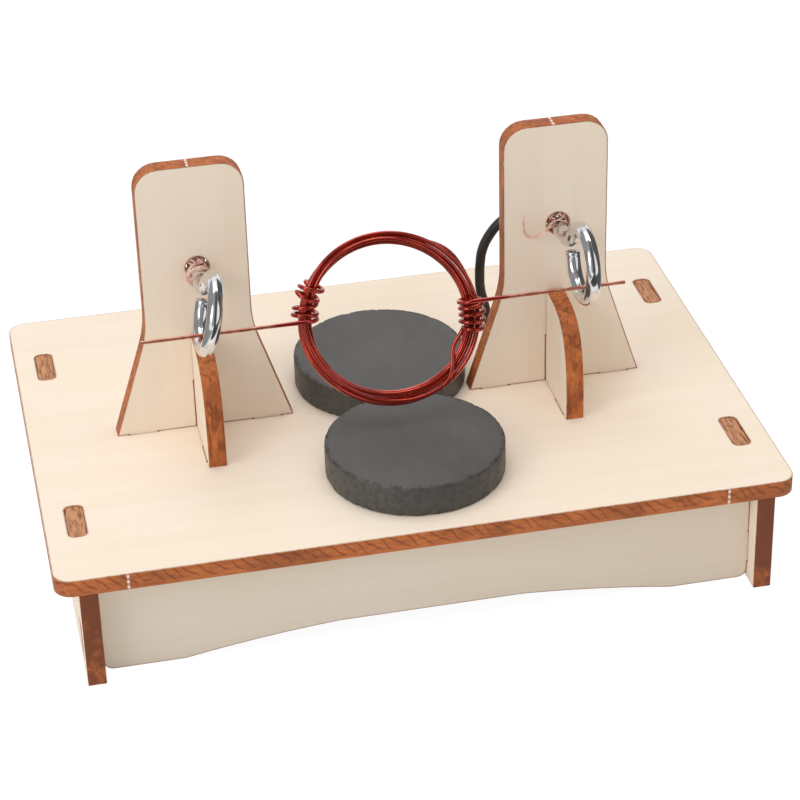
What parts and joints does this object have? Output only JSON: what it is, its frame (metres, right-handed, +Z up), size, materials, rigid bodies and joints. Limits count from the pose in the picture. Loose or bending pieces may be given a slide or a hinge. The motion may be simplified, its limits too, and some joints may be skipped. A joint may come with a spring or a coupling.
{
  "type": "demonstration electric motor",
  "caption": "Classroom electric motor: a wound coil spins in screw eyes over disc magnets on a small plywood table, fed by a cell under the table.",
  "frame": {"origin": "centre of the board's footprint, on the surface that the legs stand on", "axes": "+X along the coil's axle, from the left post to the right one; +Y to the back; +Z up"},
  "size_m": [0.122, 0.085, 0.0695],
  "materials": {
    "plywood": "bare sheet, laser-cut edges",
    "chrome": "bright plated",
    "ferrite": "bare sintered ferrite",
    "copper_wire": "enamelled copper, bared at the axle's ends",
    "bare_copper": "bare copper strands",
    "black_plastic": "moulded",
    "foam": "foam pad, sticky on both faces",
    "contact_steel": "nickel-plated strip",
    "cell_jacket": "plain printed jacket, no marks",
    "red_lead": "soft insulation",
    "black_lead": "soft insulation",
    "solder": "solder"
  },
  "bodies": {
    "stand": {"board": "plywood", "left_leg": "plywood", "right_leg": "plywood", "front_apron": "plywood", "rear_apron": "plywood", "left_post": "plywood", "right_post": "plywood", "left_brace": "plywood", "right_brace": "plywood", "left_eye": "chrome", "right_eye": "chrome", "front_magnet": "ferrite", "rear_magnet": "ferrite", "holder_pad": "foam", "holder": "black_plastic", "plate_contact": "contact_steel", "spring_contact": "contact_steel", "cell": "cell_jacket", "left_lead": "red_lead", "right_lead": "black_lead", "left_strands": "bare_copper", "right_strands": "bare_copper", "left_solder": "solder", "right_solder": "solder"},
    "rotor": {"coil": "copper_wire"}
  },
  "joints": [
    {"name": "rotor_spin", "type": "hinge", "parent": "stand", "child": "rotor", "pos_m": [0, -0.0159, 0.04637], "axis": [1, 0, 0], "continuous": true}
  ]
}
